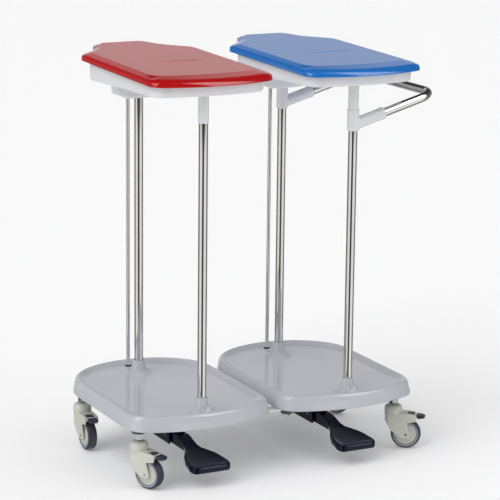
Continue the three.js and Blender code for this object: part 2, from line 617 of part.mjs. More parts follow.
// The origin is the middle of the base of the box around the whole trolley.
const box = new THREE.Box3().setFromObject(trolley);
const centre = box.getCenter(new THREE.Vector3());
trolley.position.set(-centre.x, -centre.y, -box.min.z);

export default trolley;
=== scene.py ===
"""Linen trolley: the smooth surfaces, materials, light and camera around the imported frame.

Shapes are drawn in millimetres. A bag holder's shapes have x = 0 on its own middle and y = 0 midway
between its two posts. A castor's shapes have the swivel axis on Z and trail along +X.
"""
import math

import bmesh
import bpy
import numpy as np
from mathutils import Matrix, Vector


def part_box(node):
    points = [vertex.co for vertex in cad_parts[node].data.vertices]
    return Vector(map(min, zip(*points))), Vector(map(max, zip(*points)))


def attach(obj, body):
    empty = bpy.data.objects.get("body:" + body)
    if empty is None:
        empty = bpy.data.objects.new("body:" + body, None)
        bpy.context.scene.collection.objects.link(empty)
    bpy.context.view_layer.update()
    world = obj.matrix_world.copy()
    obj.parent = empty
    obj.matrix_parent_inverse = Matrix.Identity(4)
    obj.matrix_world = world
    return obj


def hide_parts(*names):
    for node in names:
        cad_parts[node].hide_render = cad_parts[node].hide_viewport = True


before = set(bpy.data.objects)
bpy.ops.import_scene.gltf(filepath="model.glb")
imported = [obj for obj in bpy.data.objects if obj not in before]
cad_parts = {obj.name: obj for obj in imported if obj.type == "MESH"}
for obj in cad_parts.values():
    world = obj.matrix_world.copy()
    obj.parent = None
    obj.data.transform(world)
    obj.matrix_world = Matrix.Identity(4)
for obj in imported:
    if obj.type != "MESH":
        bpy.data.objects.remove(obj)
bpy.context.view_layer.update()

MM = 0.001
AROUND = 240                      # points in each outline of a deck, bag frame, housing or lid
SHARP = math.radians(38)          # edges that turn more than this stay crisp
POST_Y = 180
POST_R = 11
CLEAR = 0.3                       # gap between pieces that fit together
POST_WALL = 1.5
SLEEVE_R = 12.6
ROD_R, ROD_Y = 4.5, 245
CASTOR_X, CASTOR_FRONT_Y, CASTOR_BACK_Y = 150, -151.5, 188

DECK = {"half": 187, "bottom": 145, "top": 182, "floor": 173, "under": 165, "wall": 7,
        "side_back": 135, "back": 151, "corner": -198, "front": -257}
RING = {"half": 144, "side_back": 150, "back_half": 60, "back": 262, "corner": -232, "front": -250,
        "plate": 6, "bottom": 928.8, "fall": -0.025, "top": 968,
        "hole_half": 122, "hole_front": -148, "hole_back": 138}
LID = {"half": 156, "corner": -240, "front": -286, "ear": 172, "tongue": 68, "back": 305,
       "plateau": 985.5, "shell": 3, "tilt": 0.02, "bow": 1.3}
HINGE = {"y": 276, "z": 948, "lug_in": 50, "lug_out": 60, "lug_r": 10}
HOUSING = {"half": 45, "front": 155, "centre": 205, "bottom": 871, "corner": 14}
WHEEL = {"r": 37.5, "trail": 32, "hub": 26, "axle": 3}
FORK = {"half": 19, "slot": 14.4, "slot_top": 79, "cap_r": 22.5, "cap_bottom": 90, "cap_top": 112}
STEM_R = 5


# ---- Places that come from the frame --------------------------------------------------------
def middle(node):
    low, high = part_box(node)
    return (low + high) / 2


def span(node):
    low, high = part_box(node)
    return low.z / MM, high.z / MM


def module_place(side):
    front, back = middle(f"{side}_front_post"), middle(f"{side}_back_post")
    return Matrix.Translation(((front.x + back.x) / 2, (front.y + back.y) / 2, 0))


def castor_place(name):
    """Turns a castor's own axes to where its stem stands and its wheel trails."""
    stem, hub = middle(f"{name}_stem"), middle(f"{name}_hub")
    heading = math.atan2(hub.y - stem.y, hub.x - stem.x)
    return Matrix.Translation((stem.x, stem.y, 0)) @ Matrix.Rotation(heading, 4, "Z")


# ---- Materials ------------------------------------------------------------------------------
class Look:
    """A node material built step by step around one Principled shader."""

    def __init__(self, name, colour, roughness, metallic=0.0, coat=0.0):
        self.material = bpy.data.materials.new(name)
        self.material.use_nodes = True
        self.nodes = self.material.node_tree.nodes
        self.links = self.material.node_tree.links
        self.shader = self.nodes["Principled BSDF"]
        self.colour, self.roughness, self.normal = colour, roughness, None
        self.shader.inputs["Base Color"].default_value = (*colour, 1)
        self.shader.inputs["Roughness"].default_value = roughness
        self.shader.inputs["Metallic"].default_value = metallic
        self.shader.inputs["Coat Weight"].default_value = coat
        self.shader.inputs["Coat Roughness"].default_value = 0.06
        self.place = self.nodes.new("ShaderNodeTexCoord").outputs["Object"]

    def noise(self, scale, detail=4.0, stretch=(1, 1, 1)):
        mapping = self.nodes.new("ShaderNodeMapping")
        mapping.inputs["Scale"].default_value = stretch
        self.links.new(self.place, mapping.inputs["Vector"])
        noise = self.nodes.new("ShaderNodeTexNoise")
        noise.inputs["Scale"].default_value = scale
        noise.inputs["Detail"].default_value = detail
        self.links.new(mapping.outputs["Vector"], noise.inputs["Vector"])
        return noise.outputs["Fac"]

    def ranged(self, value, low, high, start=0.3, end=0.7):
        node = self.nodes.new("ShaderNodeMapRange")
        node.inputs["From Min"].default_value = start
        node.inputs["From Max"].default_value = end
        node.inputs["To Min"].default_value = low
        node.inputs["To Max"].default_value = high
        self.links.new(value, node.inputs["Value"])
        return node.outputs["Result"]

    def vary_colour(self, value, factor):
        """Colour drifts from itself, where value is 0, to itself times `factor`, where it is 1."""
        mix = self.nodes.new("ShaderNodeMix")
        mix.data_type = "RGBA"
        mix.inputs["A"].default_value = (*self.colour, 1)
        mix.inputs["B"].default_value = (*[min(1.0, c * factor) for c in self.colour], 1)
        self.links.new(value, mix.inputs["Factor"])
        self.links.new(mix.outputs["Result"], self.shader.inputs["Base Color"])
        return self

    def vary_roughness(self, value, spread):
        low, high = max(0.02, self.roughness - spread), self.roughness + spread
        self.links.new(self.ranged(value, low, high), self.shader.inputs["Roughness"])
        return self

    def bump(self, value, strength, distance_mm):
        node = self.nodes.new("ShaderNodeBump")
        node.inputs["Strength"].default_value = strength
        node.inputs["Distance"].default_value = distance_mm * MM
        self.links.new(value, node.inputs["Height"])
        if self.normal is not None:
            self.links.new(self.normal, node.inputs["Normal"])
        self.normal = node.outputs["Normal"]
        self.links.new(self.normal, self.shader.inputs["Normal"])
        return self


def plastic(name, colour, roughness, coat, grain=1400, grain_mm=0.02, drift=0.94, mirror=0.5):
    """Moulded plastic: fine grain, a slow ripple from the mould, handling marks in the gloss."""
    look = Look(name, colour, roughness, coat=coat)
    look.shader.inputs["Specular IOR Level"].default_value = mirror
    look.vary_colour(look.ranged(look.noise(9), 0, 1), drift)
    look.vary_roughness(look.noise(38, 7), roughness * 0.06)
    look.bump(look.noise(14, 1), 0.1, 0.06)
    look.bump(look.noise(grain, 2), 0.12, grain_mm)
    return look.material


def steel(name, colour, roughness, stretch, grain_mm=0.004):
    """Polished or plated steel with fine drawing lines and slight smears."""
    look = Look(name, colour, roughness, metallic=1.0)
    look.vary_colour(look.ranged(look.noise(30), 0, 1), 0.93)
    look.vary_roughness(look.noise(60, 8, stretch), roughness * 0.4)
    look.bump(look.noise(900, 3, stretch), 0.15, grain_mm)
    return look.material


def rubber(name, colour, roughness):
    look = Look(name, colour, roughness)
    look.vary_colour(look.ranged(look.noise(45, 6), 0, 1), 1.35)
    look.vary_roughness(look.noise(90, 6), 0.12)
    look.bump(look.noise(1900, 4), 0.4, 0.04)
    return look.material


DRAWN_UPRIGHT = (1, 1, 0.02)
LOOKS = {
    "pale_grey_plastic": plastic("pale_grey_plastic", (0.52, 0.535, 0.575), 0.11, 0.1),
    "off_white_plastic": plastic("off_white_plastic", (0.75, 0.76, 0.78), 0.26, 0.1, drift=0.975),
    "red_plastic": plastic("red_plastic", (0.47, 0.004, 0.005), 0.1, 0.05, grain_mm=0.006),
    "blue_plastic": plastic("blue_plastic", (0.012, 0.165, 0.54), 0.1, 0.05, grain_mm=0.006),
    "stainless_tube": steel("stainless_tube", (0.70, 0.69, 0.67), 0.09, DRAWN_UPRIGHT),
    "steel_hardware": steel("steel_hardware", (0.46, 0.47, 0.49), 0.22, (1, 1, 1), 0.01),
    "black_plastic": plastic("black_plastic", (0.0022, 0.0026, 0.014), 0.15, 0.0, drift=1.6, mirror=0.22),
    "cream_plastic": plastic("cream_plastic", (0.58, 0.585, 0.52), 0.38, 0.1, 1100, 0.03),
    "grey_tyre": rubber("grey_tyre", (0.030, 0.031, 0.045), 0.52),
    "dark_grey_plastic": plastic("dark_grey_plastic", (0.06, 0.062, 0.075), 0.42, 0.0, 900, 0.04),
    "navy_plastic": plastic("navy_plastic", (0.016, 0.016, 0.045), 0.4, 0.1),
}
TYRE_SIDE = rubber("tyre_side", (0.23, 0.235, 0.28), 0.5)


# ---- Mesh tools -----------------------------------------------------------------------------
def joined(*shapes):
    """One (points, faces) shape out of several."""
    points, faces = [], []
    for more_points, more_faces in shapes:
        start = len(points)
        points += list(more_points)
        faces += [tuple(start + i for i in face) for face in more_faces]
    return points, faces


def moved(shape, matrix):
    return [tuple(matrix @ Vector(p)) for p in shape[0]], shape[1]


def loft(levels, closed=False):
    """Skin through loops of equally many points, capped at both ends or back to the first loop."""
    count = len(levels[0])
    points = [tuple(p) for level in levels for p in level]
    faces = []
    pairs = len(levels) if closed else len(levels) - 1
    for k in range(pairs):
        lower, upper = k * count, ((k + 1) % len(levels)) * count
        for i in range(count):
            j = (i + 1) % count
            faces.append((lower + i, lower + j, upper + j, upper + i))
    if not closed:
        faces.append(tuple(reversed(range(count))))
        faces.append(tuple(range((len(levels) - 1) * count, len(levels) * count)))
    return points, faces


def softened(profile, radius=0.8, steps=3, closed=False):
    """The same run of corners, each cut off `radius` before it and rounded."""
    out = []
    last = len(profile) - 1
    for i, corner in enumerate(profile):
        if not closed and i in (0, last):
            out.append(corner)
            continue
        here = Vector(corner)
        before, after = Vector(profile[i - 1]), Vector(profile[(i + 1) % len(profile)])
        cut = min(radius, (before - here).length * 0.45, (after - here).length * 0.45)
        start, end = here + (before - here).normalized() * cut, here + (after - here).normalized() * cut
        for k in range(steps + 1):
            t = k / steps
            out.append(tuple(start * (1 - t) ** 2 + here * 2 * t * (1 - t) + end * t ** 2))
    return out


def turned(profile, segments=64, closed=False, x=0, y=0):
    """Body turned about Z from [radius, z]. An open profile is capped flat at both ends."""
    levels = []
    for r, z in profile:
        ring = [2 * math.pi * i / segments for i in range(segments)]
        levels.append([(x + max(r, 0.02) * math.cos(a), y + max(r, 0.02) * math.sin(a), z) for a in ring])
    return loft(levels, closed=closed)


def tube(r, bore, bottom, top, x=0, y=0, edge=0.5):
    profile = [(bore, bottom), (r, bottom), (r, top), (bore, top)]
    return turned(softened(profile, edge, 2, closed=True), closed=True, x=x, y=y)


def rod(r, bottom, top, x=0, y=0, edge=0.8, segments=48):
    profile = [(0, bottom), (r, bottom), (r, top), (0, top)]
    return turned(softened(profile, edge), segments, x=x, y=y)


def swept(path, radius, segments=40):
    """Round bar along a path that stays in one plane, with flat ends."""
    path = [Vector(p) for p in path]
    normal = (path[1] - path[0]).cross(path[len(path) // 2] - path[0]).normalized()
    levels = []
    for i, here in enumerate(path):
        along = (path[min(i + 1, len(path) - 1)] - path[max(i - 1, 0)]).normalized()
        side = along.cross(normal)
        ring = [2 * math.pi * k / segments for k in range(segments)]
        levels.append([tuple(here + side * radius * math.cos(a) + normal * radius * math.sin(a))
                       for a in ring])
    return loft(levels)


def rounded(corners, steps=10):
    """Outline through corners (x, y, cut), each rounded over its cut."""
    out = []
    for i, (x, y, cut) in enumerate(corners):
        here = Vector((x, y))
        before, after = Vector(corners[i - 1][:2]), Vector(corners[(i + 1) % len(corners)][:2])
        start = here + (before - here).normalized() * cut
        end = here + (after - here).normalized() * cut
        for k in range(steps + 1):
            t = k / steps
            out.append(tuple(start * (1 - t) ** 2 + here * 2 * t * (1 - t) + end * t ** 2))
    return out


def evenly(outline):
    """AROUND points of an outline at even angles about its origin."""
    dense = []
    for i, start in enumerate(outline):
        end = outline[(i + 1) % len(outline)]
        parts = max(1, int(math.dist(start, end) / 2))
        dense += [(start[0] + (end[0] - start[0]) * k / parts,
                   start[1] + (end[1] - start[1]) * k / parts) for k in range(parts)]
    xy = np.array(dense)
    angle = np.arctan2(xy[:, 1], xy[:, 0])
    order = np.argsort(angle)
    angle, xy = angle[order], xy[order]
    wanted = np.linspace(-math.pi, math.pi, AROUND, endpoint=False) + 0.5 * math.pi / AROUND
    return np.stack([np.interp(wanted, angle, xy[:, k], period=2 * math.pi) for k in (0, 1)], 1)


def at_height(outline, height):
    """Outline points lifted to a height, or to height(x, y)."""
    lift = height if callable(height) else lambda x, y: height
    return [(x, y, lift(x, y)) for x, y in outline]


def piece(name, shape, slot, body, place=None, replaces=()):
    """A finished object made straight from a (points, faces) shape."""
    mesh = bpy.data.meshes.new(name)
    mesh.from_pydata([Vector(p) * MM for p in shape[0]], [], shape[1])
    return finished(name, mesh, slot, body, place, replaces)


def finished(name, mesh, slot, body, place=None, replaces=()):
    """One object: smooth, with its material, on its body, for the CAD nodes that it replaces."""
    edit = bmesh.new()
    edit.from_mesh(mesh)
    bmesh.ops.remove_doubles(edit, verts=edit.verts, dist=0.002 * MM)
    bmesh.ops.recalc_face_normals(edit, faces=edit.faces)
    edit.to_mesh(mesh)
    edit.free()
    mesh.shade_smooth()
    mesh.set_sharp_from_angle(angle=SHARP)
    mesh.materials.clear()
    mesh.materials.append(LOOKS[slot])
    item = bpy.data.objects.new(name, mesh)
    bpy.context.scene.collection.objects.link(item)
    if place is not None:
        item.matrix_world = place
    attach(item, body)
    if replaces:
        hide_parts(*replaces)
    return item


def moulded(shape, cuts=(), voxel=1.0, smooth=3):
    """Mesh of a shape with others cut out, its edges melted together as a moulding's are."""
    def helper(part):
        mesh = bpy.data.meshes.new("helper")
        mesh.from_pydata([Vector(p) * MM for p in part[0]], [], part[1])
        edit = bmesh.new()
        edit.from_mesh(mesh)
        bmesh.ops.recalc_face_normals(edit, faces=edit.faces)
        edit.to_mesh(mesh)
        edit.free()
        item = bpy.data.objects.new("helper", mesh)
        bpy.context.scene.collection.objects.link(item)
        return item

    base = helper(shape)
    remesh = base.modifiers.new("melt", "REMESH")
    remesh.mode = "VOXEL"
    remesh.voxel_size = voxel * MM
    cutters = [helper(cut) for cut in cuts]
    for cutter in cutters:
        modifier = base.modifiers.new("cut", "BOOLEAN")
        modifier.operation = "DIFFERENCE"
        modifier.solver = "EXACT"
        modifier.object = cutter
    again = base.modifiers.new("melt_again", "REMESH")
    again.mode = "VOXEL"
    again.voxel_size = voxel * MM
    relax = base.modifiers.new("relax", "SMOOTH")
    relax.factor = 0.5
    relax.iterations = smooth
    graph = bpy.context.evaluated_depsgraph_get()
    mesh = bpy.data.meshes.new_from_object(base.evaluated_get(graph))
    for item in [base, *cutters]:
        bpy.data.objects.remove(item)
    return mesh


def soften_cad(node, slot, width_mm=0.8):
    """A CAD node that keeps its shape gets its material, broken edges and smooth shading."""
    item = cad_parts[node]
    item.data.materials.clear()
    item.data.materials.append(LOOKS[slot])
    item.data.shade_smooth()
    item.data.set_sharp_from_angle(angle=SHARP)
    bevel = item.modifiers.new("broken_edges", "BEVEL")
    bevel.width = width_mm * MM
    bevel.segments = 3
    bevel.limit_method = "ANGLE"
    bevel.angle_limit = SHARP
    bevel.harden_normals = True


# ---- Deck -----------------------------------------------------------------------------------
DECK_EDGE = [(3, 145), (1.2, 145.6), (0.3, 147), (0, 149), (4.2, 170), (5.2, 175), (7, 179),
             (9.4, 181.3), (12, 182), (14.6, 181.5), (17.4, 179.8), (20.4, 177), (24, 174.7),
             (28.5, 173.4), (34, 173)]            # inset and height, from the lower lip to the dish


def deck_outline(inset):
    half = DECK["half"] - inset
    depth = DECK["back"] - inset
    back = [(half * math.cos(a), DECK["side_back"] + depth * math.sin(a))
            for a in np.linspace(0, math.pi, 60)]
    corner, front = DECK["corner"] + inset, DECK["front"] + inset
    run = [(-half, DECK["side_back"], 0.01), (-half, corner, 50), (0, front, 115), (half, corner, 50),
           (half, DECK["side_back"], 0.01)]
    steps = 14
    return evenly(back + rounded(run, steps)[steps + 1:-steps - 1])


def deck_height(base):
    """Height of the dish where the bosses flare out of it, with a saddle up to the front rim."""
    flare, flare_r, reach = 9.0, 19.0, 8.0
    ridge, ridge_y = 8.8, -222.0

    def height(x, y):
        lift = sum(flare * math.exp(-max(0, math.hypot(x, y - post) - flare_r) / reach)
                   for post in (-POST_Y, POST_Y))
        room = (DECK["top"] - base) / (DECK["top"] - DECK["floor"])
        saddle = ridge * math.exp(-(x / 20) ** 4 - ((y - ridge_y) / 29) ** 4)
        return base + (lift + saddle) * max(0, room)
    return height


def deck_shape():
    under = [at_height(deck_outline(DECK["wall"] + 5), DECK["under"]),
             at_height(deck_outline(DECK["wall"]), DECK["bottom"])]
    edge = [at_height(deck_outline(inset), z if z < DECK["bottom"] + 30 or inset < 12
                      else deck_height(z)) for inset, z in DECK_EDGE]
    inner = deck_outline(DECK_EDGE[-1][0])
    floor = [at_height(inner * share, deck_height(DECK["floor"]))
             for share in np.linspace(0.97, 0.02, 46)]
    body = loft(under + edge + floor)
    top = 207
    boss_run = [(POST_R + CLEAR, 150), (16, 150), (16, 168), (23, 174.2), (20.2, 178),
                (17.8, DECK["floor"] + 12), (15.6, 196), (13.9, top), (POST_R + CLEAR, top)]
    bosses = [turned(softened(boss_run, 1.6, 4, closed=True), closed=True, y=y) for y in (-POST_Y, POST_Y)]
    cups = [tube(14, 9.7, DECK["bottom"], 166, x, y)
            for x in (-CASTOR_X, CASTOR_X) for y in (CASTOR_FRONT_Y, CASTOR_BACK_Y)]
    return joined(body, *bosses, *cups)


# ---- Bag frame and hinge housing ------------------------------------------------------------
def ring_outline(inset):
    half, back_half = RING["half"] - inset, RING["back_half"] - inset / 2
    back, side = RING["back"] - inset, RING["side_back"] - inset / 2
    return evenly(rounded([
        (half, side, 14), (back_half, back, 18), (-back_half, back, 18), (-half, side, 14),
        (-half, RING["corner"] + inset, 48), (0, RING["front"] + inset, 60),
        (half, RING["corner"] + inset, 48)]))


def hole_outline(inset):
    half = RING["hole_half"] - inset
    front, back = RING["hole_front"] + inset, RING["hole_back"] - inset
    return evenly(rounded([(half, back, 30), (-half, back, 30), (-half, front, 30), (half, front, 30)]))


def tilted(z):
    return lambda x, y: z + LID["tilt"] * y


def above_bottom(rise):
    return lambda x, y: RING["bottom"] + RING["fall"] * y + rise


def bag_frame_shape():
    top, plate = RING["top"], RING["top"] - RING["plate"]
    body = loft([
        at_height(ring_outline(9), above_bottom(0.4)), at_height(ring_outline(5.5), above_bottom(0)),
        at_height(ring_outline(3), above_bottom(0.6)), at_height(ring_outline(1.5), above_bottom(2)),
        at_height(ring_outline(0.7), above_bottom(4.5)), at_height(ring_outline(0), tilted(top - 3.5)),
        at_height(ring_outline(0.4), tilted(top - 1.4)), at_height(ring_outline(1.4), tilted(top - 0.4)),
        at_height(ring_outline(3), tilted(top)), at_height(hole_outline(-3), tilted(top)),
        at_height(hole_outline(-1), tilted(top - 0.6)), at_height(hole_outline(0), tilted(top - 2.4)),
        at_height(hole_outline(0), above_bottom(1.5)), at_height(hole_outline(-1.5), above_bottom(0)),
        at_height(hole_outline(-5), above_bottom(0)), at_height(hole_outline(-6), above_bottom(1.5)),
        at_height(hole_outline(-6), tilted(plate)), at_height(ring_outline(6.4), tilted(plate)),
    ], closed=True)
    sockets = [tube(POST_R + 6, POST_R + CLEAR, RING["bottom"] + RING["fall"] * y + 1,
                    RING["top"] + LID["tilt"] * y - 4, y=y) for y in (-POST_Y, POST_Y)]
    cheeks = []
    for side in (-1, 1):
        outline = rounded([(side * 30 + dx, dy, 3) for dx, dy in
                           ((16, 286), (-16, 286), (-16, 225), (16, 225))], 4)
        cheeks.append(loft([at_height(outline, z) for z in (936.5, 937.5, 958.5, 959.6)]))
    return joined(body, *sockets, *cheeks)


def housing_shape():
    def outline(inset):
        half, back, corner = HOUSING["half"] - inset, RING["back"] - 6 - inset, HOUSING["corner"]
        front, centre = HOUSING["front"] + inset, HOUSING["centre"]
        loop = rounded([(half, back - centre, corner), (-half, back - centre, corner),
                        (-half, front - centre, corner / 2), (half, front - centre, corner / 2)])
        return [(x, y + centre) for x, y in evenly(loop)]

    bottom = HOUSING["bottom"]
    levels = [(12, 0), (6, 0), (4, 0.7), (2.4, 2.4), (1.4, 5), (1, 8)]
    return loft([at_height(outline(inset), bottom + rise) for inset, rise in levels]
                + [at_height(outline(0), above_bottom(-CLEAR))])


# ---- Lid ------------------------------------------------------------------------------------
# Side inset and height, from the rim up the wall, over the groove and up the bevel to the plateau.
LID_SIDE = [(1.5, 966), (0.4, 966.4), (0, 967.4), (0, 969), (0.3, 973), (0.7, 976.4), (1.4, 977.5),
            (2.0, 977.2), (2.4, 976.2), (3.3, 976.2), (3.7, 978.2), (4.6, 980.2), (6, 980.9),
            (6.6, 981.06), (14, 983.2), (21.2, 985.28), (22, 985.5), (22.8, 985.5), (26, 985.5)]
# Front inset and height at the same steps, a flat fall from the plateau that turns down to the rim.
LID_FRONT = [(1.5, 966), (0.4, 966.4), (0, 967.4), (0.4, 969), (1.1, 970.9), (2.0, 972.8), (3.1, 974.6),
             (4.3, 976.3), (5.8, 977.9), (7.6, 979.3), (10.2, 980.5), (14, 981.3), (21, 982.2),
             (29, 983.2), (37, 984.25), (45, 985.35), (46, 985.5), (46.9, 985.5), (50, 985.5)]


def lid_outline(side, front, back):
    half, tongue = LID["half"] - side, LID["tongue"] - back
    ear, shoulder_y = LID["ear"] - side / 2, LID["ear"] + 62 - side / 2
    shoulder = LID["half"] * 0.62 - side * 0.8
    return evenly(rounded([
        (half, ear, 9), (shoulder, shoulder_y, 16), (tongue, LID["back"] - back, 12),
        (-tongue, LID["back"] - back, 12), (-shoulder, shoulder_y, 16), (-half, ear, 9),
        (-half, LID["corner"] + front, 30), (0, LID["front"] + front * LID["bow"], 112),
        (half, LID["corner"] + front, 30)]))


def front_share(x, y):
    """0 on the lid's sides and back, 1 on its front, with a quick change at the corners."""
    edge = abs(math.atan2(x, -y))
    corner = math.atan2(LID["half"], -LID["corner"])
    return min(1.0, max(0.0, (corner - edge) / 0.03 + 0.5))


def lid_level(step):
    """One loop of the lid's outside: wall, groove and bevel on the sides, a bullnose round the front."""
    side, side_z = LID_SIDE[step]
    front, front_z = LID_FRONT[step]
    loop = lid_outline(side, front, min(side, 14))
    share = [front_share(x, y) for x, y in loop]
    return [(x, y, side_z + (front_z - side_z) * f + LID["tilt"] * y) for (x, y), f in zip(loop, share)]


def lid_line_shape():
    """Low moulded wedge across the plateau, thin at its left end, sloping down towards the front."""
    left, right, y_left, y_right, widest, rise = -56, 89, -23, -18, 20, 1.3
    levels = []
    for t in np.linspace(0.002, 0.998, 60):
        x, y = left + (right - left) * t, y_left + (y_right - y_left) * t
        share = math.sin(math.pi * t ** 1.6) ** 0.9
        base = LID["plateau"] + LID["tilt"] * y
        across = [(-0.5, -0.4), (-0.5, -0.02), (-0.3, 0.2), (0.2, 0.85), (0.36, 0.95), (0.46, 0.5),
                  (0.5, -0.02), (0.5, -0.4)]
        levels.append([(x, y + widest * share * u, base + (rise * share * v if v > 0 else v))
                       for u, v in across])
    return loft(levels)


def lid_shape():
    shell = LID["shell"]
    inside = [
        at_height(lid_outline(26, 50, 18), tilted(LID["plateau"] - shell)),
        at_height(lid_outline(22, 46, 14), tilted(LID["plateau"] - shell - 0.2)),
        at_height(lid_outline(shell + 3, 14, shell + 3), tilted(978)),
        at_height(lid_outline(shell + 1, shell + 2, shell + 1), tilted(974)),
        at_height(lid_outline(shell + 0.6, shell + 0.8, shell + 0.6), tilted(967)),
        at_height(lid_outline(shell, shell, shell), tilted(966.1)),
    ]
    body = loft(inside + [lid_level(step) for step in range(len(LID_SIDE))])
    lugs = []
    for side in (-1, 1):
        x0, x1 = sorted((side * HINGE["lug_in"], side * HINGE["lug_out"]))
        run = [(HINGE["lug_r"] * math.cos(a), HINGE["lug_r"] * math.sin(a))
               for a in np.linspace(-math.pi, 0, 24)]
        top = LID["plateau"] + LID["tilt"] * HINGE["y"] - shell + 0.8 - HINGE["z"]
        outline = [(HINGE["y"] + a, HINGE["z"] + b) for a, b in run + [(9, top), (-9, top)]]
        lugs.append(loft([[(x, y, z) for y, z in outline] for x in (x0, x1)]))
    return joined(body, *lugs)


# ---- Pedal ----------------------------------------------------------------------------------
# Stations along the pedal: y, half width, bottom, top, depth of the dish in the top face.
PEDAL_RUN = [(258, 11, 56, 84, 0), (256.5, 14, 54.6, 85.4, 0), (252, 15, 54, 86, 0), (60, 15, 54, 86, 0),
             (-40, 15, 54, 86, 0), (-84, 15, 54, 85.6, 0), (-104, 15.2, 54, 80, 0.6),
             (-122, 17, 53.5, 72.5, 1.6), (-136, 22, 51.6, 67.6, 2.8), (-152, 31.5, 49.4, 65.4, 4),
             (-170, 41.5, 46.8, 63.2, 5), (-190, 47.5, 44.2, 60.4, 5.6), (-212, 50.5, 41.2, 58, 5.6),
             (-222, 52, 40, 57, 4.8), (-230, 51.4, 39, 56.2, 2.8), (-236, 49.2, 38.4, 55.6, 0.6),
             (-240.5, 45.2, 38.4, 55, 0), (-243.6, 39.5, 39.4, 53.6, 0), (-245.4, 31, 41.6, 51, 0)]


def pedal_shape():
    columns = np.array(PEDAL_RUN)
    stations = columns[::-1]
    spread = np.concatenate([np.linspace(a, b, 7)[:-1] for a, b in zip(stations[:-1, 0], stations[1:, 0])])
    spread = np.append(spread, stations[-1, 0])
    half, bottom, top, dish = (np.interp(spread, stations[:, 0], stations[:, k]) for k in (1, 2, 3, 4))
    levels = []
    for y, w, low, high, deep in zip(spread, half, bottom, top, dish):
        corner = min(5.0, (high - low) * 0.3)
        across = rounded([(w, high, corner), (-w, high, corner), (-w, low, corner), (w, low, corner)], 5)
        ring = []
        for i, (x, z) in enumerate(across):
            ring.append((x, y, z))
            if i == 5:                            # along the top face, where the dish is
                ring += [(x * s, y, z - deep * (1 - s ** 4)) for s in (0.9, 0.75, 0.5, 0.2, -0.2, -0.5,
                                                                       -0.75, -0.9)]
        levels.append(ring)
    return loft(levels)


# ---- Handle and tees ------------------------------------------------------------------------
# "start", "tee_reach" and "grip" are distances out from the right-hand posts' axes.
HANDLE = {"slope": math.radians(15.5), "start": 32, "tee_reach": 83, "grip": 223.6, "bend": 42,
          "axis_z": 831.5}


def handle_point(x, y):
    """Point on the handle's sloping plane."""
    return Vector((x, y, HANDLE["axis_z"] + x * math.tan(HANDLE["slope"])))


def handle_shape():
    out = Vector((math.cos(HANDLE["slope"]), 0, math.sin(HANDLE["slope"])))
    bend = HANDLE["bend"]

    def corner(side):
        centre = handle_point(HANDLE["grip"], 0) - out * bend
        centre.y = side * (POST_Y - bend)
        return [centre + out * bend * math.sin(a) + Vector((0, side * bend * math.cos(a), 0))
                for a in np.linspace(0, math.pi / 2, 18)]
    path = [handle_point(HANDLE["start"], -POST_Y), *corner(-1), *reversed(corner(1)),
            handle_point(HANDLE["start"], POST_Y)]
    return swept(path, POST_R)


def tee_mesh(y, bottom, top):
    """Sleeve on the post, and an arm with a collar for the handle."""
    lean = Matrix.Translation(handle_point(0, y)) @ Matrix.Rotation(
        math.pi / 2 - HANDLE["slope"], 4, "Y")
    length = (HANDLE["tee_reach"] + CLEAR) / math.cos(HANDLE["slope"])
    arm = moved(rod(14.5, 4, length, edge=1.2), lean)
    collar = moved(rod(15.2, length - 10, length, edge=1.0), lean)
    sleeve = rod(14.5, bottom, top, y=y, edge=1.5)
    return moulded(joined(sleeve, arm, collar), smooth=5)


# ---- Castors --------------------------------------------------------------------------------
def extruded_side(outline, half):
    """Side-view outline (x, z) as a body from y = -half to +half."""
    return loft([[(x, y, z) for x, z in outline] for y in (-half, half)])


def block(low, high):
    (x0, y0, z0), (x1, y1, z1) = low, high
    return loft([[(x0, y0, z), (x1, y0, z), (x1, y1, z), (x0, y1, z)] for z in (z0, z1)])


def curve(start, control, end, steps=10):
    return [tuple(Vector(start) * (1 - t) ** 2 + Vector(control) * 2 * t * (1 - t) + Vector(end) * t ** 2)
            for t in np.linspace(0, 1, steps + 1)]


def fork_mesh():
    top = FORK["cap_bottom"] + 0.5
    ear = [(WHEEL["trail"] + 11 * math.cos(a), WHEEL["r"] + 11 * math.sin(a))
           for a in np.linspace(1.25 * math.pi, 2.1 * math.pi, 24)]
    side = [(-21, top), (-21, 73), (-7, 50), *curve((-7, 50), (12, 30), (WHEEL["trail"] - 8, 28))[1:],
            *ear, *curve(ear[-1], (38, 56), (34, 67))[1:], (57, 71.5), (57.5, 87.5),
            *curve((57.5, 87.5), (40, 92), (18, top + 1.5))[1:]]
    cap_r, back_r = FORK["cap_r"] - 0.6, FORK["cap_r"] - 0.3
    cap = turned([(0, top - 3), (cap_r, top - 3), (cap_r, top + 1), (0, top + 1)])
    slot = block((-16, -FORK["slot"], -5), (90, FORK["slot"], FORK["slot_top"]))
    well = block((36, -10, FORK["slot_top"] - 2), (54, 10, 112))
    tunnel = block((50, -9, FORK["slot_top"] - 2), (62, 9, 84.5))
    mesh = moulded(joined(extruded_side(side, FORK["half"] - 0.2), cap), [slot, well, tunnel], 0.9, 5)
    for vertex in mesh.vertices:              # the cowl's back is round, like the cap above it
        r = math.hypot(vertex.co.x, vertex.co.y) / MM
        if vertex.co.x < 0 and r > back_r:
            vertex.co.xy *= back_r / r
    return mesh


def cap_shape():
    """Domed swivel cap with a groove round its foot."""
    r, bottom, top = FORK["cap_r"], FORK["cap_bottom"], FORK["cap_top"]
    return turned(softened([(0, bottom + 0.5), (r - 1.2, bottom + 0.5), (r - 1.2, bottom + 1.6),
                            (r, bottom + 2), (r, top - 9), (r - 2.6, top - 3.2), (r - 8, top),
                            (STEM_R + CLEAR, top), (STEM_R + CLEAR, top - 1), (0, top - 1)], 1.4, 4), 72)


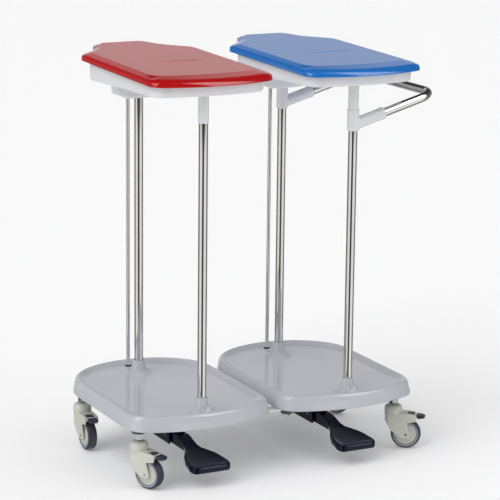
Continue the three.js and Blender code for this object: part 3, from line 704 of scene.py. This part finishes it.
def on_axle(shape):
    return moved(shape, Matrix.Translation((WHEEL["trail"], 0, WHEEL["r"])) @ Matrix.Rotation(
        math.pi / 2, 4, "X"))


def hub_shape():
    face, rim = 11, WHEEL["hub"]
    half = [(WHEEL["axle"] + CLEAR, face), (7, face), (8.2, face - 1), (12, face - 1), (12.8, face - 1.8),
            (17.2, face - 1.8), (18, face - 2.8), (21.5, face - 2.8), (23.2, face - 0.2), (rim, face)]
    profile = half + [(r, -z) for r, z in reversed(half)]
    return on_axle(turned(softened(profile, 0.5, 3, closed=True), 72, closed=True))


TYRE_HALF = [(WHEEL["hub"] + CLEAR, 11.2), (27.4, 12), (31.4, 12), (32.2, 11.6), (34.6, 11), (36.3, 9),
             (37.2, 6), (37.5, 2.5)]
TYRE_SIDE_RADII, TYRE_SIDE_Y = (27, 31.8), 11


def tyre_shape():
    profile = TYRE_HALF + [(r, -z) for r, z in reversed(TYRE_HALF)]
    return on_axle(turned(softened(profile, 0.7, 3, closed=True), 96, closed=True))


def paint_tyre_side(item):
    """The lighter ring on both sides of the tyre."""
    item.data.materials.append(TYRE_SIDE)
    for face in item.data.polygons:
        x, y, z = face.center / MM
        r = math.hypot(x - WHEEL["trail"], z - WHEEL["r"])
        if TYRE_SIDE_RADII[0] < r < TYRE_SIDE_RADII[1] and abs(y) > TYRE_SIDE_Y:
            face.material_index = 1


def axle_shape():
    end = FORK["half"] + 1
    profile = [(0, -end), (2.4, -end), (3, -end + 0.8), (3, end - 0.8), (2.4, end), (0, end)]
    return on_axle(turned(softened(profile, 0.4), 32))


def stem_shape():
    turn = math.radians(17)
    hexagon = [(11 * math.cos(a), 11 * math.sin(a)) for a in turn + np.arange(6) * math.pi / 3]
    nut = loft([[(x * s, y * s, z) for x, y in hexagon]
                for s, z in ((0.86, 114), (1, 115.4), (1, 129.4), (0.86, 130.7))])
    return joined(rod(STEM_R, 82, 158, edge=0.6), nut)


def collar_shape():
    profile = [(STEM_R + CLEAR, 131), (16.2, 131), (17.2, 131.8), (21.6, 138.4), (22, 139.4), (22, 144.7),
               (9, 144.7), (9, 160), (STEM_R + CLEAR, 160)]
    return turned(softened(profile, 0.6, 3, closed=True), 64, closed=True)


def brake_mesh():
    pad = block((37, -9, 80.3), (53, 9, 90))
    neck = block((50, -7.5, 80.3), (60, 7.5, 83))
    tab = loft([at_height(rounded([(80 - d, 12 - d, 9), (58.5 + d, 12 - d, 2), (58.5 + d, -12 + d, 2),
                                   (80 - d, -12 + d, 9)], 6), z)
                for d, z in ((1.2, lambda x, y: 76.7 + (x - 59) * 0.1),
                             (0, lambda x, y: 87.3 - (x - 59) * 0.12))])
    return moulded(joined(pad, neck, tab), voxel=0.6)


def fork_fitting_shape():
    """Rivet dots on the cowl's sides and the raised rings round the axle ends."""
    parts = []
    for side in (-1, 1):
        turn = Matrix.Rotation(math.pi / 2, 4, "X")
        dot = moved(rod(1.3, -0.4, 0.35, edge=0.3, segments=20),
                    Matrix.Translation((29, side * (FORK["half"] - 0.2), 81)) @ turn)
        ring = moved(tube(6.5, 4.6, -0.5, 0.5, edge=0.3),
                     Matrix.Translation((WHEEL["trail"], side * (FORK["half"] - 0.1), WHEEL["r"])) @ turn)
        parts += [dot, ring]
    return joined(*parts)


def build_castors():
    fork, brake = fork_mesh(), brake_mesh()
    for corner in ("left_front", "left_back", "right_front", "right_back"):
        name = f"{corner}_castor"
        place = castor_place(name)
        body = {part: f"{name}_{part}" for part in ("fork", "wheel", "brake")}
        finished(f"{name}_fork_moulding", fork.copy(), "cream_plastic", body["fork"], place,
                 [f"{name}_fork"])
        piece(f"{name}_cap", cap_shape(), "cream_plastic", body["fork"], place)
        piece(f"{name}_fork_fittings", fork_fitting_shape(), "cream_plastic", body["fork"], place)
        piece(f"{name}_axle_bar", axle_shape(), "steel_hardware", body["fork"], place, [f"{name}_axle"])
        piece(f"{name}_wheel_hub", hub_shape(), "cream_plastic", body["wheel"], place, [f"{name}_hub"])
        tyre = piece(f"{name}_wheel_tyre", tyre_shape(), "grey_tyre", body["wheel"], place,
                     [f"{name}_tyre"])
        paint_tyre_side(tyre)
        finished(f"{name}_brake_lever", brake.copy(), "navy_plastic", body["brake"], place,
                 [f"{name}_brake_tab"])
        piece(f"{name}_collar_cone", collar_shape(), "dark_grey_plastic", "frame", place,
              [f"{name}_collar"])
        piece(f"{name}_stem_and_nut", stem_shape(), "steel_hardware", "frame", place,
              [f"{name}_stem"])


# ---- Bag holders ----------------------------------------------------------------------------
def build_module(side, lid_slot):
    place = module_place(side)

    def put(name, shape, slot, body="frame", stands_for=()):
        nodes = [f"{side}_{node}" for node in stands_for]
        return piece(f"{side}_{name}", shape, slot, body, place, nodes)

    put("deck_moulding", deck_shape(), "pale_grey_plastic", stands_for=["deck"])
    for at, y in (("front", -POST_Y), ("back", POST_Y)):
        bottom, top = span(f"{side}_{at}_post")
        put(f"{at}_upright", tube(POST_R, POST_R - POST_WALL, bottom, top, y=y), "stainless_tube",
            stands_for=[f"{at}_post"])
    bottom, top = span(f"{side}_front_sleeve")
    put("sleeve", tube(SLEEVE_R, POST_R + CLEAR, bottom, top, y=-POST_Y), "off_white_plastic",
        stands_for=["front_sleeve"])
    put("frame_moulding", bag_frame_shape(), "off_white_plastic", stands_for=["bag_frame"])
    put("housing_moulding", housing_shape(), "off_white_plastic", stands_for=["hinge_housing"])
    put("lid_moulding", lid_shape(), lid_slot, f"{side}_lid", ["lid"])
    put("lid_line", lid_line_shape(), lid_slot, f"{side}_lid")
    bottom, top = span(f"{side}_push_rod")
    put("rod", rod(ROD_R, bottom, top, y=ROD_Y), "stainless_tube", f"{side}_push_rod", ["push_rod"])
    hole = ROD_R + CLEAR
    grommet = [(hole, 165), (7.6, 165), (7.6, 173.3), (8.8, 173.3), (8.2, 174.6), (7, 175), (hole, 175)]
    put("grommet", turned(softened(grommet, 0.5, 3, closed=True), 40, closed=True, y=ROD_Y),
        "black_plastic", stands_for=["rod_grommet"])
    put("pedal_moulding", pedal_shape(), "black_plastic", f"{side}_pedal", ["pedal"])
    soften_cad(f"{side}_pedal_bracket", "black_plastic")
    soften_cad(f"{side}_pedal_pin", "steel_hardware", 0.4)
    soften_cad(f"{side}_hinge_pin", "steel_hardware", 0.4)


def build_shared():
    right = module_place("right")
    for at, y in (("front", -POST_Y), ("back", POST_Y)):
        node = f"{at}_handle_tee"
        bottom, top = span(node)
        finished(f"{at}_tee_moulding", tee_mesh(y, bottom, top), "off_white_plastic", "frame", right, [node])
        soften_cad(f"{at}_link_plate", "off_white_plastic", 1.2)
    piece("handle_tube", handle_shape(), "stainless_tube", "frame", right, ["push_handle"])


def build_link_bolts():
    """Collar and hexagon bolt under the right end of each link plate, two screws under the left end."""
    collar = turned(softened([(0, 0.2), (19, 0.2), (19, -1.5), (15, -11), (14, -13), (0, -13)], 1, 3), 48)
    hexagon = [(9 * math.cos(a), 9 * math.sin(a)) for a in 0.3 + np.arange(6) * math.pi / 3]
    bolt = loft([[(x * s, y * s, z) for x, y in hexagon]
                 for s, z in ((0.86, -19), (1, -18), (1, -12.5))])
    screws = joined(*[joined(rod(3.2, -12, 0.2, x=x, edge=0.8, segments=28),
                             rod(4.6, -15.5, -11.5, x=x, edge=1.4, segments=28)) for x in (-8, 8)])
    reach = 46                                # from the plate's middle to its fastenings
    for at in ("front", "back"):
        low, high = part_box(f"{at}_link_plate")
        centre = (low + high) / 2
        for name, shape, x, slot in (("collar", collar, reach, "dark_grey_plastic"),
                                     ("bolt", bolt, reach, "steel_hardware"),
                                     ("screws", screws, -reach, "dark_grey_plastic")):
            place = Matrix.Translation((centre.x + x * MM, centre.y, low.z))
            piece(f"{at}_link_{name}", shape, slot, "frame", place)


# ---- Stage, light and camera ----------------------------------------------------------------
def build_stage():
    mesh = bpy.data.meshes.new("floor")
    size, glow = 40, 0.11                      # half its width in metres, and its emission
    mesh.from_pydata([(-size, -size, 0), (size, -size, 0), (size, size, 0), (-size, size, 0)], [],
                     [(0, 1, 2, 3)])
    floor = bpy.data.objects.new("floor", mesh)
    bpy.context.scene.collection.objects.link(floor)
    look = Look("studio_floor", (0.95, 0.95, 0.95), 0.6)
    look.shader.inputs["Emission Color"].default_value = (1, 1, 1, 1)
    look.shader.inputs["Emission Strength"].default_value = glow
    look.vary_colour(look.ranged(look.noise(3), 0, 1), 0.995)
    mesh.materials.append(look.material)
    floor.visible_glossy = False               # what gloss mirrors is drawn by the world instead


def soft_sun(name, azimuth, elevation, strength, spread):
    """Soft directional light. Azimuth is from the front, positive to the right."""
    data = bpy.data.lights.new(name, "SUN")
    data.energy, data.angle = strength, math.radians(spread)
    lamp = bpy.data.objects.new(name, data)
    bpy.context.scene.collection.objects.link(lamp)
    a, e = math.radians(azimuth), math.radians(elevation)
    towards = Vector((math.sin(a) * math.cos(e), -math.cos(a) * math.cos(e), math.sin(e)))
    lamp.rotation_euler = towards.to_track_quat("Z", "Y").to_euler()
    lamp.visible_glossy = False


# Brightness of the studio that gloss mirrors, by degrees round from the camera's side. Below the
# horizon it is dark behind the camera, with a tall pale panel on each side, dim side walls and a pale
# back wall. Above it the panels are bright softboxes, and higher still the back wall is dim too.
BELOW = [(-180, 0.8), (-156, 0.8), (-146, 0.24), (-88, 0.24), (-76, 1.05), (-27, 1.05), (-19, 0.06),
         (18, 0.06), (27, 1.05), (80, 1.05), (92, 0.24), (146, 0.24), (156, 0.8), (180, 0.8)]
LEVEL = [(-180, 0.56), (-156, 0.56), (-146, 0.16), (-82, 0.16), (-74, 0.9), (-40, 0.9), (-34, 0.08),
         (46, 0.08), (53, 0.9), (82, 0.9), (90, 0.16), (146, 0.16), (156, 0.56), (180, 0.56)]
ABOVE = [(-180, 0.04), (-156, 0.04), (-146, 0.06), (-82, 0.08), (-74, 3.6), (-40, 3.6), (-34, 0.06),
         (46, 0.06), (53, 4.5), (82, 4.5), (90, 0.08), (146, 0.06), (156, 0.04), (180, 0.04)]
CEILING = (0.06, 0.06, 0.0648, 1)
DIFFUSE_LIGHT = (0.58, 0.58, 0.5858, 1)
BACKDROP = (0.97, 0.97, 0.97, 1)  # what shows past the edge of the floor


def build_light():
    world = bpy.data.worlds.new("studio")
    bpy.context.scene.world = world
    world.use_nodes = True
    world.cycles.sampling_method = "NONE"
    nodes, links = world.node_tree.nodes, world.node_tree.links

    def node(kind, *inputs, **settings):
        made = nodes.new(kind)
        for key, value in settings.items():
            setattr(made, key, value)
        for i, value in enumerate(inputs):
            if hasattr(value, "is_linked"):
                links.new(value, made.inputs[i])
            else:
                made.inputs[i].default_value = value
        return made

    direction = nodes.new("ShaderNodeTexCoord").outputs["Generated"]
    turn = math.radians(CAMERA["azimuth"])
    to_camera = (math.sin(turn), -math.cos(turn), 0)
    to_right = (math.cos(turn), math.sin(turn), 0)
    along, across, up = (node("ShaderNodeVectorMath", direction, axis, operation="DOT_PRODUCT")
                         .outputs["Value"] for axis in (to_camera, to_right, (0, 0, 1)))
    azimuth = node("ShaderNodeMath", across, along, operation="ARCTAN2").outputs[0]
    share = node("ShaderNodeMapRange", azimuth, -math.pi, math.pi, 0.0, 1.0).outputs[0]
    below, level, above = (node("ShaderNodeValToRGB", share) for _ in range(3))
    for walls, stops in ((below, BELOW), (level, LEVEL), (above, ABOVE)):
        ramp = walls.color_ramp
        while len(ramp.elements) < len(stops):
            ramp.elements.new(0.5)
        for element, (angle, value) in zip(ramp.elements, stops):
            element.position = (angle + 180) / 360
            element.color = (value, value, value, 1)
    colour = below.outputs["Color"]
    for start, end, walls in ((0.0, 0.06, level), (0.34, 0.44, above), (0.92, 0.96, None)):
        share = node("ShaderNodeMapRange", up, start, end, 0.0, 1.0).outputs[0]
        studio = node("ShaderNodeMix", share, data_type="RGBA")
        links.new(colour, studio.inputs["A"])
        if walls:
            links.new(walls.outputs["Color"], studio.inputs["B"])
        colour = studio.outputs["Result"]
    studio.inputs["B"].default_value = CEILING
    rays = nodes.new("ShaderNodeLightPath")
    mixed = node("ShaderNodeMix", rays.outputs["Is Glossy Ray"], data_type="RGBA")
    mixed.inputs["A"].default_value = DIFFUSE_LIGHT
    links.new(colour, mixed.inputs["B"])
    seen = node("ShaderNodeMix", rays.outputs["Is Camera Ray"], data_type="RGBA")
    links.new(mixed.outputs["Result"], seen.inputs["A"])
    seen.inputs["B"].default_value = BACKDROP
    links.new(seen.outputs["Result"], nodes["Background"].inputs["Color"])
    soft_sun("key", -72, 44, 1.35, 50)
    soft_sun("fill", 60, 38, 0.35, 70)
    bpy.context.scene.view_settings.view_transform = "Standard"


# Angles in degrees, place in metres, lens in millimetres.
CAMERA = {"azimuth": -27.3, "elevation": 13.04, "roll": 0.641, "place": (-2.4572, -4.7683, 1.7429),
          "lens": 161.55}


def build_camera():
    a, e = math.radians(CAMERA["azimuth"]), math.radians(CAMERA["elevation"])
    back = Vector((math.sin(a) * math.cos(e), -math.cos(a) * math.cos(e), math.sin(e)))
    right = (-back).cross(Vector((0, 0, 1))).normalized()
    up = right.cross(-back)
    turn = Matrix((right, up, back)).transposed().to_4x4()
    data = bpy.data.cameras.new("camera")
    data.lens, data.sensor_width = CAMERA["lens"], 36
    data.clip_end = 200
    camera = bpy.data.objects.new("camera", data)
    bpy.context.scene.collection.objects.link(camera)
    camera.matrix_world = (Matrix.Translation(CAMERA["place"]) @ turn
                           @ Matrix.Rotation(math.radians(CAMERA["roll"]), 4, "Z"))
    bpy.context.scene.camera = camera


build_camera()
build_module("left", "red_plastic")
build_module("right", "blue_plastic")
build_shared()
build_castors()
build_link_bolts()
build_stage()
build_light()

bpy.context.view_layer.update()
